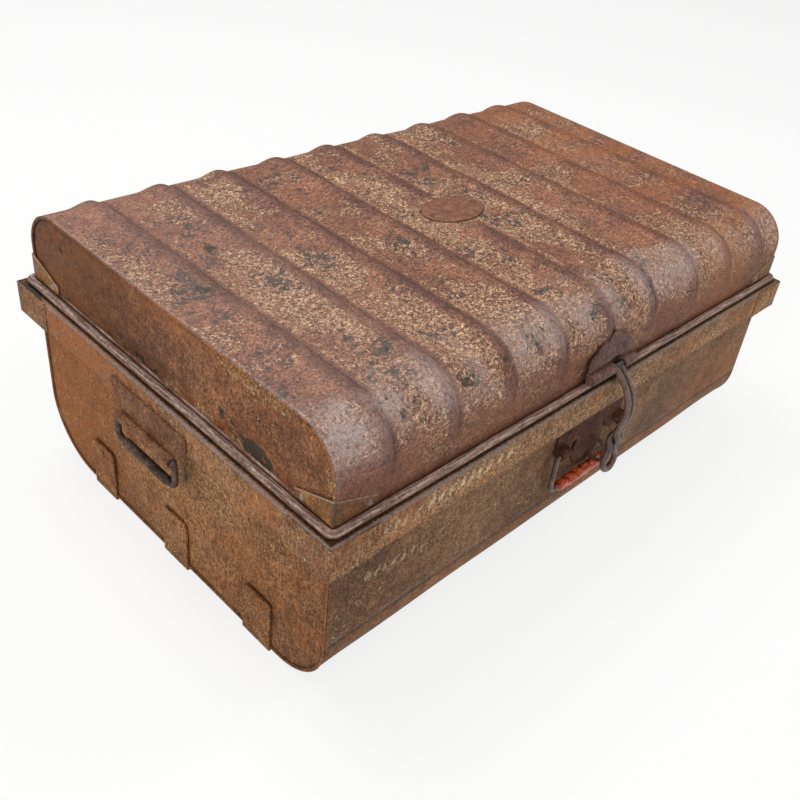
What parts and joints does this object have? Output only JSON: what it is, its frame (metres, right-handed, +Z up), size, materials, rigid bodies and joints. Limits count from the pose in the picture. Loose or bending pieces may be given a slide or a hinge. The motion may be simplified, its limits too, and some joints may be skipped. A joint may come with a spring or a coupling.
{
  "type": "tin trunk",
  "caption": "Small old sheet-metal travelling trunk with a ribbed hinged lid, standing collar, front hasp and bail handles, in worn brown paint.",
  "frame": {"origin": "middle of the footprint, on the floor under the runners", "axes": "+X along the trunk, towards its right end; +Y towards the hinges at the back, so the hasp faces -Y; +Z up"},
  "size_m": [0.7464, 0.5106, 0.2955],
  "materials": {
    "body_paint": "worn, rusty paint",
    "lid_paint": "worn, rusty paint",
    "collar_paint": "worn, rusty paint",
    "corner_plate": "worn, rusty paint",
    "gusset_plate": "dull, tarnished",
    "rim_iron": "rubbed bare",
    "runner_iron": "worn, rusty paint",
    "oval_metal": "worn, dull",
    "rivet_iron": "rusty",
    "plate_iron": "rusty",
    "rod_iron": "rubbed, rusty",
    "red_wrap": "shiny, scuffed"
  },
  "bodies": {
    "body": {"body_back_sheet": "body_paint", "body_bottom_sheet": "body_paint", "body_front_sheet": "body_paint", "body_left_end": "body_paint", "body_right_end": "body_paint", "collar_back_strip": "collar_paint", "collar_corner_plate_back_left": "corner_plate", "collar_corner_plate_back_right": "corner_plate", "collar_corner_plate_front_left": "corner_plate", "collar_corner_plate_front_right": "corner_plate", "collar_corner_rivets": "rivet_iron", "collar_front_strip": "collar_paint", "collar_left_strip": "collar_paint", "collar_right_strip": "collar_paint", "hinge_body_rivets": "rivet_iron", "hinge_left_body_leaf": "plate_iron", "hinge_left_pin": "rod_iron", "hinge_right_body_leaf": "plate_iron", "hinge_right_pin": "rod_iron", "left_handle_plate": "plate_iron", "left_handle_rivets": "rivet_iron", "right_handle_plate": "plate_iron", "right_handle_rivets": "rivet_iron", "runner_back": "runner_iron", "runner_front": "runner_iron", "runner_middle": "runner_iron", "runner_rivets": "rivet_iron", "staple": "rod_iron", "staple_plate": "plate_iron", "staple_plate_rivets": "rivet_iron"},
    "lid": {"gusset_rivets": "rivet_iron", "hasp_pin": "rod_iron", "hasp_plate": "plate_iron", "hasp_plate_rivets": "rivet_iron", "hinge_left_lid_leaf": "plate_iron", "hinge_lid_rivets": "rivet_iron", "hinge_right_lid_leaf": "plate_iron", "lid_gusset_back_left": "gusset_plate", "lid_gusset_back_right": "gusset_plate", "lid_gusset_front_left": "gusset_plate", "lid_gusset_front_right": "gusset_plate", "lid_left_end": "lid_paint", "lid_right_end": "lid_paint", "lid_rim": "rim_iron", "lid_rim_wire": "rim_iron", "lid_sheet": "lid_paint", "oval_plate": "oval_metal", "oval_plate_rivets": "rivet_iron"},
    "hasp": {"hasp": "rod_iron"},
    "front_bail": {"front_bail": "rod_iron", "front_bail_grip": "red_wrap"},
    "left_bail": {"left_bail": "rod_iron"},
    "right_bail": {"right_bail": "rod_iron"}
  },
  "joints": [
    {"name": "lid_hinge", "type": "hinge", "parent": "body", "child": "lid", "pos_m": [0, 0.2425, 0.206], "axis": [-1, 0, 0], "range_deg": [0, 105]},
    {"name": "hasp_pivot", "type": "hinge", "parent": "lid", "child": "hasp", "pos_m": [0.009, -0.2343, 0.2185], "axis": [-1, 0, 0], "range_deg": [0, 120]},
    {"name": "front_bail_pivot", "type": "hinge", "parent": "body", "child": "front_bail", "pos_m": [0, -0.2335, 0.133], "axis": [-1, 0, 0], "range_deg": [0, 72]},
    {"name": "left_bail_pivot", "type": "hinge", "parent": "body", "child": "left_bail", "pos_m": [-0.36808, 0.008, 0.155], "axis": [0, 1, 0], "range_deg": [-25, 160]},
    {"name": "right_bail_pivot", "type": "hinge", "parent": "body", "child": "right_bail", "pos_m": [0.36808, 0.008, 0.155], "axis": [0, -1, 0], "range_deg": [-25, 160]}
  ],
  "couplings": [
    {"joint": "front_bail_pivot", "follows": "hasp_pivot", "ratio": 0.6}
  ]
}
